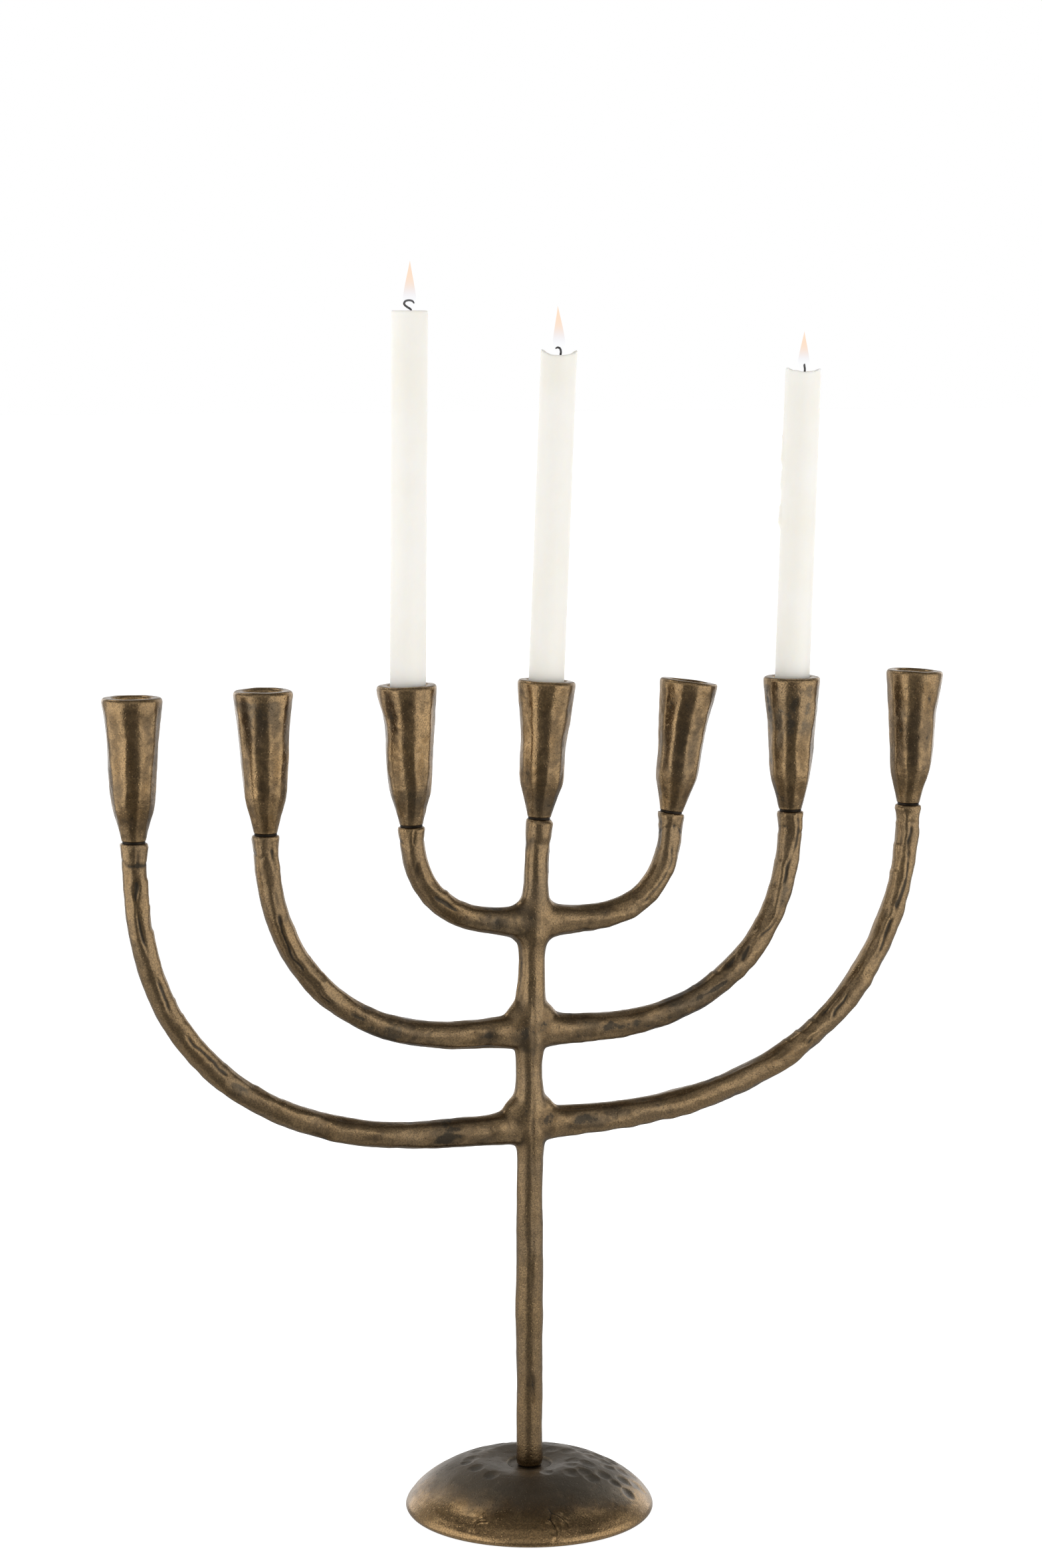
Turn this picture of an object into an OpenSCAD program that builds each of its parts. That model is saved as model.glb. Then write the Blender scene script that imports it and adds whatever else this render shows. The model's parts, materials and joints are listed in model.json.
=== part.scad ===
// Seven-branched candle holder: a cast dome foot, a centre stem with six curved
// branches brazed to it, and seven candle cups screwed onto the branch tips.
// Origin at the middle of the underside, +Z up, branches along X, +Y to the back.
// Branches, tips and cups are numbered from the left, 0 to 6; node names use 1 to 7.

/* [Base] */
// Radius of the base at its widest
base_r = 78.5; // [72:0.5:90]
// Height that the dome's curve would reach without the dish round the stem
crown_h = 35.5; // [34:0.5:42]
// Depth of the shallow dish round the stem
dish_depth = 7.5; // [4:0.5:8]
// Thickness of the cast shell
shell_t = 4.5; // [3:0.5:6]
// Thickness of the felt ring under the rim
felt_t = 1; // [0.5:0.5:3]

/* [Cups] */
// Radius of the candle socket
socket_r = 11.6; // [11.5:0.05:11.8]
// Depth of the candle socket
socket_depth = 25; // [20:1:30]
// Scale of each cup's outline across
cup_girth = 1; // [0.95:0.01:1.05]
// Thickness of the dark washer under each cup
washer_t = 1.2; // [0.8:0.1:2]

/* [Candles] */
// Radius of a candle
candle_r = 11; // [10.8:0.05:11]
// Radius of a wick
wick_r = 0.9; // [0.6:0.1:1.2]
// Length of wick standing above the wax
wick_up = 7; // [4:1:9]

/* [Fasteners] */
// Radius of the threaded studs and of the base bolt
thread_r = 4; // [3:0.5:4]
// Gap round the stud inside a cup
thread_gap = 0.06; // [0.04:0.01:0.1]
// Length of stud that stands out of a branch
stud_up = 9; // [7:0.5:12]
// Length of stud inside a branch
stud_down = 14; // [10:1:18]

/* [Quality] */
// Distance between the rings of a branch
ring_step = 7; // [5:1:12]
// Corners of a branch's section
sides = 12; // [8:4:16]

/* [Hidden] */
$fn = 64;

// Branches run level from the stem and then bend up to their tips: [tip across, tip up, height and
// length of the level run, fullness of the bend across, fullness up]; a fullness of 2 is an ellipse's
outer_left = [-249.5, 438.5, 247, 60, 2.1, 2.6];
middle_left = [-168.5, 439.5, 308.5, 40, 2.2, 2.3];
inner_left = [-76.5, 440.5, 378.5, 10, 2.4, 2.4];
inner_right = [94, 441.5, 377, 20, 2.9, 2.5];
middle_right = [175.4, 439, 308, 40, 2.3, 2.3];
outer_right = [257.6, 439.5, 249.5, 20, 2.5, 2.2];
// Radius of a branch along most of its length, and what its root and its tip add to that
waist_r = 7.4;
root_swell = 2.8;
tip_swell = 1.1;
tip_swell_h = 16;
// The stem's points from the base upwards, [across, up, radius]: it bends a little at the upper hubs
foot_z = 28.5;
stem_points = [[0, foot_z, 8.3], [0, 310.5, 8.6], [2.5, 377.5, 7.6], [6.2, 441.5, 8]];
// Round hubs on the stem where the branches meet it, from the lowest: [across, up]
hubs = [[0, 251], stem_points[1], stem_points[2]];
squareness = 2.5;
hub_r = 9.4;
hub_half = 11;
hub_taper = 4;
bar_gap = 2;
// Half depth that no branch passes, so that its root stays within its hub
branch_depth = 8.2;

// Branch tips, cup leans towards +X in degrees, and cup heights
branches = [outer_left, middle_left, inner_left, stem_points[3], inner_right, middle_right, outer_right];
tips = [for (b = branches) [b[0], b[1]]];
stem_lean = atan2(stem_points[3][0] - stem_points[2][0], stem_points[3][1] - stem_points[2][1]);
cup_lean = [0, -0.5, -1.5, stem_lean, 7.9, 0, 2.2];
cup_h = [86, 86.5, 86, 85, 82.5, 84.5, 85.5];

// Points on the curve of a cup's wall for a cup of outline_h: [radius, height]
outline_h = 86;
cup_points = [[7.2, 0], [9.8, 10.5], [13, 22.5], [14.4, 39], [15.6, 57.5], [18.1, 83.5]];

// Candles: [cup, lean in degrees, length, depth of the melted hollow]
candles = [[2, 0.5, 250, 1], [3, 2.3, 227, 3], [5, 1.7, 218.5, 3]];
candle_gap = 0.5;

// Dark washer under a cup: its outer radius, and the gap between it and the branch's tip
cup_washer_r = 6.86;
seat_gap = 0.03;

// Base: where the curve meets the rim, and its fastening to the stem
dome_bend = 2.26;
dome_round = 1.4;
rim_z = 3.8;
rim_inner_r = 71;
dish_r = 36;
recess_r = 14;
boss_r = 17;
boss_z = 17;
hole_gap = 0.5;
bolt_bite = 18;
base_washer_r = 12;
base_washer_t = 1.6;
lock_washer_r = 7.4;
lock_washer_t = 2;
lock_washer_split = 1.5;
hex_across = 13;
hex_h = 5.3;
felt_outer_r = 73.5;
felt_inner_r = 68;

brass = [0.52, 0.40, 0.22];
dark = [0.16, 0.14, 0.12];
steel = [0.55, 0.55, 0.56];
wax = [0.94, 0.93, 0.88];

branch_names = [
    "outer_left", "middle_left", "inner_left", "stem", "inner_right", "middle_right", "outer_right"
];
arm_ids = [0, 1, 2, 4, 5, 6];

// Smooth curve through the points, for u from 0 to len(pts) - 1
function curve(pts, u) =
    let (
        last = len(pts) - 1,
        i = min(floor(u), last - 1),
        t = u - i,
        b = pts[i],
        c = pts[i + 1],
        a = i > 0 ? pts[i - 1] : 2 * b - c,
        d = i < last - 1 ? pts[i + 2] : 2 * c - b
    )
    (2 * b + (c - a) * t + (2 * a - 5 * b + 4 * c - d) * t * t + (3 * b - a - 3 * c + d) * t * t * t) / 2;

// A branch's rings from the stem to its tip: [across, up, radius]
function rings(b) =
    let (
        side = sign(b[0]),
        out = abs(b[0]) - b[3],
        rise = b[1] - b[2],
        level_rings = ceil(b[3] / ring_step),
        bend_rings = round(1.15 * norm([out, rise]) / ring_step),
        line = concat(
            [for (k = [0:level_rings - 1]) [side * b[3] * k / level_rings, b[2]]],
            // The sine draws the rings together at both ends, where this curve would leave them far apart
            [for (k = [0:bend_rings])
                let (w = k / bend_rings, t = 90 * w - 9 * sin(360 * w))
                [side * (b[3] + out * pow(sin(t), 2 / b[4])), b[1] - rise * pow(cos(t), 2 / b[5])]]
        )
    )
    [for (j = [0:len(line) - 1])
        let (from_tip = b[1] - line[j][1], left = 1 - j / (len(line) - 1))
        [line[j][0], line[j][1],
         waist_r + root_swell * pow(left, 3) + tip_swell * pow(max(0, 1 - from_tip / tip_swell_h), 2)]];

// Corner k of a rounded-square section of radius 1
function corner(k) =
    let (
        a = 360 * (k + 0.5) / sides,
        c = cos(a),
        s = sin(a),
        size = pow(pow(abs(c), squareness) + pow(abs(s), squareness), 1 / squareness)
    )
    [c, s] / size;

// Solid through the rings, its last face square to end_angle
module swept(line, end_angle) {
    n = len(line);
    points = [for (j = [0:n - 1])
        let (
            p = line[j],
            run = line[min(j + 1, n - 1)] - line[max(j - 1, 0)],
            a = j == n - 1 ? end_angle : atan2(run[1], run[0])
        )
        for (k = [0:sides - 1])
            let (q = corner(k), across = q[0] * p[2], deep = q[1] * min(p[2], branch_depth))
            [p[0] - across * sin(a), deep, p[1] + across * cos(a)]];
    walls = [for (j = [0:n - 2], k = [0:sides - 1])
        let (a = j * sides + k, b = j * sides + (k + 1) % sides)
        each [[a, a + sides, b], [b, a + sides, b + sides]]];
    caps = [[for (k = [0:sides - 1]) k], [for (k = [sides - 1:-1:0]) (n - 1) * sides + k]];
    polyhedron(points, concat(walls, caps), convexity = 8);
}

// Children placed on tip i, with +Z along the cup's axis
module at_tip(i) {
    translate([tips[i][0], 0, tips[i][1]]) rotate([0, cup_lean[i], 0]) children();
}

module stud_hole(i) {
    at_tip(i) translate([0, 0, -stud_down]) cylinder(r = thread_r, h = stud_down + 1);
}

module at_hub(k) {
    translate([hubs[k][0], 0, hubs[k][1]]) children();
}

module hub() {
    end = hub_half + hub_taper;
    rotate_extrude() polygon([
        [0, -end], [hub_r - 2, -end], [hub_r, -hub_half], [hub_r, hub_half], [hub_r - 2, end], [0, end]
    ]);
}

// Round bar between two of the stem's points, short of each by the lengths given
module bar(a, b, short_a, short_b) {
    run = [b[0] - a[0], b[1] - a[1]];
    translate([a[0], 0, a[1]]) rotate([0, atan2(run[0], run[1]), 0]) translate([0, 0, short_a])
        cylinder(r1 = a[2], r2 = b[2], h = norm(run) - short_a - short_b);
}

module stem() {
    color(brass) difference() {
        union() {
            bar(stem_points[0], stem_points[1], 0, bar_gap);
            bar(stem_points[1], stem_points[2], bar_gap, bar_gap);
            bar(stem_points[2], stem_points[3], bar_gap, 0);
            for (k = [0:2]) at_hub(k) hub();
        }
        stud_hole(3);
        translate([0, 0, foot_z - 1]) cylinder(r = thread_r, h = bolt_bite + 3);
    }
}

module arm(i) {
    color(brass) difference() {
        swept(rings(branches[i]), 90 - cup_lean[i]);
        at_hub(min(i, 6 - i)) cylinder(r = hub_r, h = 4 * hub_half, center = true);
        stud_hole(i);
    }
}

module cup_stud(i) {
    bottom = 1 - stud_down;
    color(steel) at_tip(i) translate([0, 0, bottom]) cylinder(r = thread_r, h = stud_up - bottom);
}

module cup_washer(i) {
    hole_r = thread_r + thread_gap;
    color(dark) at_tip(i) rotate_extrude() translate([hole_r, seat_gap])
        square([cup_washer_r - hole_r, washer_t - seat_gap]);
}

module cup(i) {
    rise = cup_h[i] / outline_h;
    wall = [for (u = [0:0.25:len(cup_points) - 1]) let (p = curve(cup_points, u)) [p[0] * cup_girth, p[1]]];
    // The rim is rounded from the wall's last point over to the socket
    edge = wall[len(wall) - 1];
    half = (edge[0] - socket_r) / 2;
    rim = [for (a = [20:20:180]) [edge[0] - half * (1 - cos(a)), edge[1] + (outline_h - edge[1]) * sin(a)]];
    floor_z = cup_h[i] - socket_depth;
    stud_r = thread_r + thread_gap;
    stud_top = stud_up - washer_t + 1;
    color(brass) at_tip(i) translate([0, 0, washer_t]) rotate_extrude()
        polygon(concat(
            [[stud_r, 0]], [for (p = concat(wall, rim)) [p[0], p[1] * rise]],
            [[socket_r, floor_z], [0, floor_z - 1], [0, stud_top], [stud_r, stud_top]]
        ));
}

// Children placed where candle c stands: its axis crosses the socket's at half depth
module at_candle(c) {
    i = c[0];
    at_tip(i) translate([0, 0, washer_t + cup_h[i] - socket_depth / 2]) rotate([0, c[1] - cup_lean[i], 0])
        translate([0, 0, candle_gap - socket_depth / 2]) children();
}

module candle(c) {
    top = c[2];
    color(wax) at_candle(c) rotate_extrude()
        polygon([[wick_r, 0], [candle_r, 0], [candle_r, top - 1], [candle_r - 0.6, top],
                 [candle_r - 2, top - c[3] / 2], [candle_r / 3, top - c[3]], [wick_r, top - c[3]]]);
}

module wick(c) {
    color(dark) at_candle(c) cylinder(r = wick_r, h = c[2] - c[3] + wick_up);
}

function dome_curve(r, radius, height) =
    rim_z + (height - rim_z) * pow(max(0, 1 - pow(r / radius, dome_bend)), 1 / dome_round);
function dome_z(r) =
    dome_curve(r, base_r, crown_h) - (r < dish_r ? dish_depth * pow(1 - pow(r / dish_r, 2), 2) : 0);

module base_dome() {
    outside = [for (r = [recess_r:4:base_r - 3]) [r, dome_z(r)]];
    edge = [
        [base_r - 1, dome_z(base_r - 1)], [base_r, rim_z], [base_r - 0.3, rim_z - 1.2], [base_r - 1.6, felt_t]
    ];
    inner_r = base_r - shell_t;
    inside = [for (r = [inner_r:-4:boss_r]) [r, dome_curve(r, inner_r, crown_h - shell_t - 3)]];
    color(brass) rotate_extrude() polygon(concat(
        [[recess_r, foot_z]], outside, edge, [[rim_inner_r, felt_t]], inside,
        [[boss_r, boss_z], [thread_r + hole_gap, boss_z], [thread_r + hole_gap, foot_z]]
    ));
}

module felt_ring() {
    color(dark) rotate_extrude() translate([felt_inner_r, 0]) square([felt_outer_r - felt_inner_r, felt_t]);
}

module base_washer() {
    hole_r = thread_r + hole_gap;
    color(steel) rotate_extrude() translate([hole_r, boss_z - base_washer_t])
        square([base_washer_r - hole_r, base_washer_t]);
}

module lock_washer() {
    color(steel) translate([0, 0, boss_z - base_washer_t - lock_washer_t]) difference() {
        cylinder(r = lock_washer_r, h = lock_washer_t);
        translate([0, 0, -1]) cylinder(r = thread_r + 0.2, h = lock_washer_t + 2);
        translate([0, -lock_washer_split / 2, -1])
            cube([lock_washer_r + 1, lock_washer_split, lock_washer_t + 2]);
    }
}

module base_bolt() {
    head_z = boss_z - base_washer_t - lock_washer_t - hex_h;
    color(steel) translate([0, 0, head_z]) {
        cylinder(r = hex_across / 2 / cos(30), h = hex_h, $fn = 6);
        cylinder(r = thread_r, h = foot_z + bolt_bite - head_z);
    }
}

base_dome();
felt_ring();
stem();
base_bolt();
base_washer();
lock_washer();
for (i = arm_ids) arm(i);
for (i = [0:6]) cup_stud(i);
for (i = [0:6]) cup_washer(i);
for (i = [0:6]) cup(i);
for (c = candles) candle(c);
for (c = candles) wick(c);
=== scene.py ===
"""Looks of a seven-branched candle holder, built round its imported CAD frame.

Metres, +Z up, the branches along X, cups numbered from the left."""

import json
import math

import bmesh
import bpy
import numpy as np
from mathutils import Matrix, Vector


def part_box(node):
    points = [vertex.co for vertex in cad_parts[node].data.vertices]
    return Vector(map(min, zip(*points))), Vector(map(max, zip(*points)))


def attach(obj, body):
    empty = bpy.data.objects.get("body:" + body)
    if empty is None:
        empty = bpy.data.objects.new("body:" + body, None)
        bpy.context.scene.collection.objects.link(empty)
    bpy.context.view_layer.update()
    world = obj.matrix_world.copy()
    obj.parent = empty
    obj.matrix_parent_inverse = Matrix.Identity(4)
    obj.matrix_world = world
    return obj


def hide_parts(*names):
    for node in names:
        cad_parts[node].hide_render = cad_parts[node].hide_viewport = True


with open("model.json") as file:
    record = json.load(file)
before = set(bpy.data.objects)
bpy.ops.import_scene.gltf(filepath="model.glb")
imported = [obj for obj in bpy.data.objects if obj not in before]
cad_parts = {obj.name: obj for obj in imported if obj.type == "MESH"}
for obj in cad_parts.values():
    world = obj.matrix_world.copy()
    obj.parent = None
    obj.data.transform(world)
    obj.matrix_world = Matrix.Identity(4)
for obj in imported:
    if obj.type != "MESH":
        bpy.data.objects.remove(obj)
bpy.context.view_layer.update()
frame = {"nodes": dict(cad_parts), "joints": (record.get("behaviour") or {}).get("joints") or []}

MM = 0.001
UP = np.array((0.0, 0.0, 1.0))
JOINTS = {joint["name"]: joint for joint in frame["joints"]}
CUPS = range(1, 8)
CANDLES = [n for n in CUPS if f"candle_{n}" in frame["nodes"]]

# The camera stands in front of the branches and to the left of them
CAMERA_TURN = math.radians(18.96)
CAMERA_DROP = math.radians(7.4)
CAMERA_DISTANCE = 2.114
CAMERA_HEIGHT = 0.738
CAMERA_LEFT = 0.0053
CAMERA_LENS = 79.19
SENSOR = 36.0
# The angle round +Z, from +X, at which an upright surface faces the camera
FRONT = math.radians(-90) - CAMERA_TURN
RIGHT = np.array((math.cos(CAMERA_TURN), -math.sin(CAMERA_TURN), 0))
AWAY = np.array((math.sin(CAMERA_TURN), math.cos(CAMERA_TURN), 0))


# ---- numbers over a surface

def hashed(cell, seed):
    """A repeatable number from 0 to 1 for each cell of a grid."""
    a = cell.astype(np.int64).astype(np.uint32)
    n = a[:, 0] * np.uint32(374761393) + a[:, 1] * np.uint32(668265263) + a[:, 2] * np.uint32(2246822519)
    n = n + np.uint32(seed * 97003 + 12345)
    n = (n ^ (n >> np.uint32(13))) * np.uint32(1274126177)
    n = (n ^ (n >> np.uint32(15))) * np.uint32(2246822519)
    return ((n ^ (n >> np.uint32(16))) & np.uint32(0xFFFFFF)) / float(0xFFFFFF)


def noise(points, size, seed):
    """Smooth noise from -1 to 1 whose features are about size mm across."""
    p = points / (size * MM)
    low = np.floor(p)
    t = p - low
    t = t * t * (3 - 2 * t)
    total = np.zeros(len(p))
    for corner in np.ndindex(2, 2, 2):
        share = np.prod(np.where(np.array(corner) == 1, t, 1 - t), axis=1)
        total += share * hashed(low + np.array(corner), seed)
    return 2 * total - 1


def layered(points, size, seed, layers=3):
    """Noise with finer noise on it, about -1 to 1."""
    total = sum(noise(points, size / 2 ** k, seed + k) / 1.8 ** k for k in range(layers))
    return total / sum(1 / 1.8 ** k for k in range(layers))


def dimples(points, size, seed):
    """Distance to the nearest of a scatter of points about size mm apart, as a share of that."""
    p = points / (size * MM)
    low = np.floor(p)
    nearest = np.full(len(p), 9.0)
    for step in np.ndindex(3, 3, 3):
        cell = low + np.array(step) - 1
        spot = np.stack([hashed(cell, seed + 11 * k) for k in range(3)], axis=1)
        nearest = np.minimum(nearest, np.linalg.norm(cell + spot - p, axis=1))
    return nearest


def ramp(value, low, high):
    """0 below low, 1 above high, and smooth in between; low may be the larger."""
    t = np.clip((value - low) / (high - low), 0, 1)
    return t * t * (3 - 2 * t)


def bell(value, width):
    return np.exp(-(value / width) ** 2)


# ---- meshes

def read(items, attribute, width=3, kind=float):
    flat = np.empty(len(items) * width, kind)
    items.foreach_get(attribute, flat)
    return flat.reshape(-1, width)


def coordinates(mesh):
    return read(mesh.vertices, "co")


def vertex_normals(mesh):
    return read(mesh.vertex_normals, "vector")


def edge_ends(mesh):
    return read(mesh.edges, "vertices", 2, np.int32)


def halfway(values):
    return (values.min(axis=0) + values.max(axis=0)) / 2


def across_of(axis):
    """The level direction at right angles to a leaning axis, towards +X."""
    return np.array((axis[2], 0.0, -axis[0]))


def set_coordinates(mesh, points):
    mesh.vertices.foreach_set("co", np.ascontiguousarray(points, np.float32).ravel())
    mesh.update()


def relaxed(points, ends, rounds, rate=0.5):
    """The points, each drawn towards the middle of its neighbours a number of times."""
    a, b = ends[:, 0], ends[:, 1]
    count = np.maximum(np.bincount(ends.ravel(), minlength=len(points)), 1)
    for _ in range(rounds):
        near = np.stack([
            np.bincount(a, points[b, k], len(points)) + np.bincount(b, points[a, k], len(points))
            for k in range(3)
        ], axis=1) / count[:, None]
        points = points + rate * (near - points)
    return points


def hollowness(mesh, points, rounds):
    """How far each point lies below its relaxed surroundings; ridges come out negative."""
    return np.einsum("ij,ij->i", relaxed(points, edge_ends(mesh), rounds) - points, vertex_normals(mesh))


def set_layer(mesh, name, values):
    """Stores a number at each vertex: patina, lowered on the foot's lower band as painted light (more is
    darker), or tarnish, which is painted shade on the foot's top (0 to 1).
    """
    layer = mesh.attributes.new(name, "FLOAT", "POINT")
    layer.data.foreach_set("value", np.ascontiguousarray(values, np.float32))


def smooth(mesh):
    mesh.polygons.foreach_set("use_smooth", np.ones(len(mesh.polygons), bool))


def add_object(name, data):
    made = bpy.data.objects.new(name, data)
    bpy.context.scene.collection.objects.link(made)
    return made


def place(mesh, material):
    """Adds a mesh to the scene as a piece of its own name."""
    piece = add_object(mesh.name, mesh)
    mesh.materials.clear()
    mesh.materials.append(material)
    return piece


def fit(mesh, material, body, slot, *nodes):
    """Makes a mesh a piece that rides on a body and stands for the CAD nodes named."""
    piece = place(mesh, material)
    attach(piece, body)
    if nodes:
        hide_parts(*nodes)


# ---- turned pieces

def outline_of(node, origin, axis):
    """Ordered (radius, height) outline of a turned CAD node, read along its seam towards +X."""
    mesh = frame["nodes"][node].data
    local = coordinates(mesh) - origin
    radius, height = local @ across_of(axis), local @ axis
    on_seam = (np.abs(local[:, 1]) < 2e-6) & (radius > -2e-6)
    spots = [tuple(spot) for spot in np.round(np.stack((radius, height), axis=1) / MM, 3)]
    links = {}
    for a, b in edge_ends(mesh):
        if on_seam[a] and on_seam[b] and spots[a] != spots[b]:
            links.setdefault(spots[a], set()).add(spots[b])
            links.setdefault(spots[b], set()).add(spots[a])
    ends = sorted(p for p in links if len(links[p]) == 1)
    here = min(ends, key=lambda p: (p[0], -p[1])) if ends else min(links)
    path, left = [here], set(links) - {here}
    while left:
        on = sorted(links[here] & left)
        reach = on or [p for p in ends if p in left] or sorted(left)
        here = min(reach, key=lambda p: math.dist(p, path[-1]))
        path.append(here)
        left.remove(here)
    return np.array(path) * MM


def resampled(outline, step):
    """The same outline with its points at most step apart."""
    points = []
    for a, b in zip(outline[:-1], outline[1:]):
        count = max(1, math.ceil(math.dist(a, b) / step))
        points += [a + (b - a) * k / count for k in range(count)]
    return np.array(points + [outline[-1]])


def softened(outline, rounds):
    """The outline with its corners rounded; its two ends stay."""
    for _ in range(rounds):
        outline[1:-1] += 0.5 * ((outline[:-2] + outline[2:]) / 2 - outline[1:-1])
    return outline


def turning_grid(outline, turns):
    """Grids of radius, angle and height: a ring of points for each (radius, height) of the outline."""
    radius = np.repeat(outline[:, :1], turns, axis=1)
    height = np.repeat(outline[:, 1:], turns, axis=1)
    return radius, np.broadcast_to(np.linspace(0, 2 * math.pi, turns, endpoint=False), radius.shape), height


def grid_points(radius, angle, height):
    return np.stack((radius * np.cos(angle), radius * np.sin(angle), height), axis=-1).reshape(-1, 3)


def ring_faces(rings, sides, closed=False):
    """Four-sided faces between neighbouring rings of points."""
    index = np.arange(rings * sides).reshape(rings, sides)
    above = np.roll(index, -1, axis=0)
    corners = (index, np.roll(index, -1, axis=1), np.roll(above, -1, axis=1), above)
    return np.stack(corners, axis=-1)[:None if closed else -1].reshape(-1, 4).tolist()


def turned_mesh(name, radius, angle, height, origin, axis, closed=False):
    """Mesh from such grids round an axis; a closed one joins its last ring to its first."""
    across = across_of(axis)
    sideways = np.cross(axis, across)
    outward = np.cos(angle)[..., None] * across + np.sin(angle)[..., None] * sideways
    grid = origin + radius[..., None] * outward + height[..., None] * axis
    mesh = bpy.data.meshes.new(name)
    mesh.from_pydata(grid.reshape(-1, 3), [], ring_faces(*radius.shape, closed))
    work = bmesh.new()
    work.from_mesh(mesh)
    bmesh.ops.remove_doubles(work, verts=work.verts, dist=1e-7)
    if work.calc_volume(signed=True) < 0:
        bmesh.ops.reverse_faces(work, faces=work.faces)
    work.to_mesh(mesh)
    work.free()
    smooth(mesh)
    return mesh


def tube_mesh(name, points, radii, sides=10):
    """Closed tube along a smooth curve through the points."""
    points, radii = np.array(points), np.array(radii)
    last = len(points) - 1
    at = np.linspace(0, last, last * 6 + 1)
    i = np.minimum(at.astype(int), last - 1)
    t = (at - i)[:, None]
    b, c = points[i], points[i + 1]
    a = np.where((i > 0)[:, None], points[np.maximum(i - 1, 0)], 2 * b - c)
    d = np.where((i < last - 1)[:, None], points[np.minimum(i + 2, last)], 2 * c - b)
    line = (2 * b + (c - a) * t + (2 * a - 5 * b + 4 * c - d) * t ** 2 + (3 * b - a - 3 * c + d) * t ** 3) / 2
    girth = np.interp(at, np.arange(last + 1), radii)
    ahead = np.gradient(line, axis=0)
    ahead /= np.linalg.norm(ahead, axis=1)[:, None]
    side = np.cross(ahead[0], (0.3, 1.0, 0.2))
    rings = []
    for middle, forward, size in zip(line, ahead, girth):
        side = side - forward * (side @ forward)
        side /= np.linalg.norm(side)
        other = np.cross(forward, side)
        turn = np.linspace(0, 2 * math.pi, sides, endpoint=False)[:, None]
        rings.append(middle + size * (np.cos(turn) * side + np.sin(turn) * other))
    verts = np.concatenate(rings)
    ends = [list(reversed(range(sides))), list(range(len(verts) - sides, len(verts)))]
    mesh = bpy.data.meshes.new(name)
    mesh.from_pydata(verts, [], ring_faces(len(rings), sides) + ends)
    smooth(mesh)
    return mesh


# ---- materials

class Nodes:
    """Builds a node tree."""

    def __init__(self, tree):
        self.tree = tree

    def add(self, kind, inputs=None, **settings):
        made = self.tree.nodes.new("ShaderNode" + kind)
        for key, value in settings.items():
            setattr(made, key, value)
        for key, value in (inputs or {}).items():
            self.put(made.inputs[key], value)
        return made

    def put(self, socket, value):
        if isinstance(value, bpy.types.NodeSocket):
            self.tree.links.new(value, socket)
        else:
            socket.default_value = value

    def maths(self, operation, a, b=0.5, c=0.5):
        return self.add("Math", {0: a, 1: b, 2: c}, operation=operation).outputs[0]

    def scaled_sum(self, a, factor, b):
        """a times factor, plus b."""
        return self.maths("MULTIPLY_ADD", a, factor, b)

    def range(self, value, low, high, to_low=0.0, to_high=1.0):
        """to_low at low and to_high at high, smooth in between; low may be the larger."""
        inputs = {"Value": value, "From Min": low, "From Max": high, "To Min": to_low, "To Max": to_high}
        return self.add("MapRange", inputs, interpolation_type="SMOOTHSTEP").outputs[0]

    def product(self, first, *rest):
        for value in rest:
            first = self.maths("MULTIPLY", first, value)
        return first


class Paint(Nodes):
    """Builds one material around a Principled shader."""

    def __init__(self, name, **sockets):
        self.material = bpy.data.materials.new(name)
        self.material.use_nodes = True
        super().__init__(self.material.node_tree)
        self.shader = self.tree.nodes["Principled BSDF"]
        self.where = self.add("TexCoord").outputs["Object"]
        for key, value in sockets.items():
            self.set(key.replace("_", " "), value)

    def set(self, socket, value):
        self.put(self.shader.inputs[socket], value)

    def noise(self, size, detail=3.0, roughness=0.55, distortion=0.0):
        """Noise with features about size mm across, 0 to 1."""
        inputs = {"Vector": self.where, "Scale": 0.5 / (size * MM), "Detail": detail, "Roughness": roughness,
                  "Distortion": distortion}
        return self.add("TexNoise", inputs).outputs[0]

    def cells(self, size):
        """Distance to the nearest of a scatter of points about size mm apart."""
        return self.add("TexVoronoi", {"Vector": self.where, "Scale": 1 / (size * MM)}).outputs["Distance"]

    def mix(self, share, a, b):
        made = self.add("Mix", data_type="RGBA")
        for socket, value in ((made.inputs[0], share), (made.inputs[6], a), (made.inputs[7], b)):
            self.put(socket, value)
        return made.outputs[2]

    def bump(self, height, distance, below=None):
        inputs = {"Height": height, "Distance": distance, "Strength": 1.0}
        if below is not None:
            inputs["Normal"] = below
        return self.add("Bump", inputs).outputs[0]


def rgb(r, g, b):
    return (r, g, b, 1.0)


# The brass, from its clean parts to its oldest
GOLD = rgb(0.235, 0.144, 0.062)
TAN = rgb(0.170, 0.112, 0.058)
GREY = rgb(0.132, 0.103, 0.069)
DARK = rgb(0.038, 0.029, 0.020)
BRIGHT = rgb(0.400, 0.262, 0.128)
# This tarnish colour also paints the top of the foot as shade, greyer and darker where it mirrors the dim room
TARNISH_AND_TOP_SHADE = rgb(0.112, 0.096, 0.073)


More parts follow.
